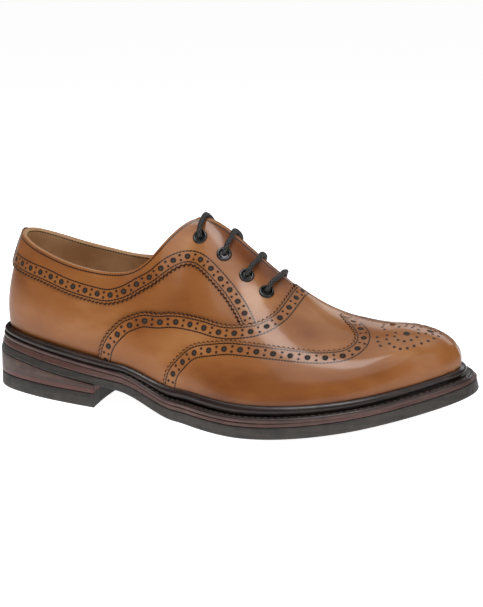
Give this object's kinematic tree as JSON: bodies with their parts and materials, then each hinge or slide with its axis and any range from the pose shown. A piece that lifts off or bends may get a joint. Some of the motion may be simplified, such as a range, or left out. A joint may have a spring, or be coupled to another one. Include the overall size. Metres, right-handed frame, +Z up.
{
  "type": "shoe",
  "caption": "Right-foot full-brogue leather shoe: hollow lasted upper with wing cap, vamp, facings, laces and open collar on a welted rubber sole with a stacked heel",
  "frame": {"origin": "a point of the floor under the ball of the foot, on the tread's flat spot, half way along the last", "axes": "+X runs to the toe, -Y is the outer (little toe) side, +Y the inner side, +Z up, the floor is z = 0"},
  "size_m": [0.3089, 0.1159, 0.1149],
  "materials": {
    "tan_calf": "burnished, glossy",
    "lining_leather": "matt",
    "insole_leather": "matt",
    "dark_welt": "waxed",
    "midsole_leather": "satin",
    "heel_leather": "satin",
    "sole_rubber": "matt",
    "black_eyelet": "black lacquer",
    "lace_cord": "braided, waxed"
  },
  "bodies": {
    "root": {"upper": "tan_calf", "facing_panel": "tan_calf", "vamp_panel": "tan_calf", "wing_cap": "tan_calf", "back_strap": "tan_calf", "tongue": "lining_leather", "insole": "insole_leather", "welt": "dark_welt", "midsole": "midsole_leather", "outsole": "sole_rubber", "heel_lift": "heel_leather", "heel_top_piece": "sole_rubber", "eyelet_outer_1": "black_eyelet", "eyelet_outer_2": "black_eyelet", "eyelet_outer_3": "black_eyelet", "eyelet_outer_4": "black_eyelet", "eyelet_inner_1": "black_eyelet", "eyelet_inner_2": "black_eyelet", "eyelet_inner_3": "black_eyelet", "eyelet_inner_4": "black_eyelet", "lace_1": "lace_cord", "lace_2": "lace_cord", "lace_3": "lace_cord", "lace_4": "lace_cord"}
  },
  "joints": []
}
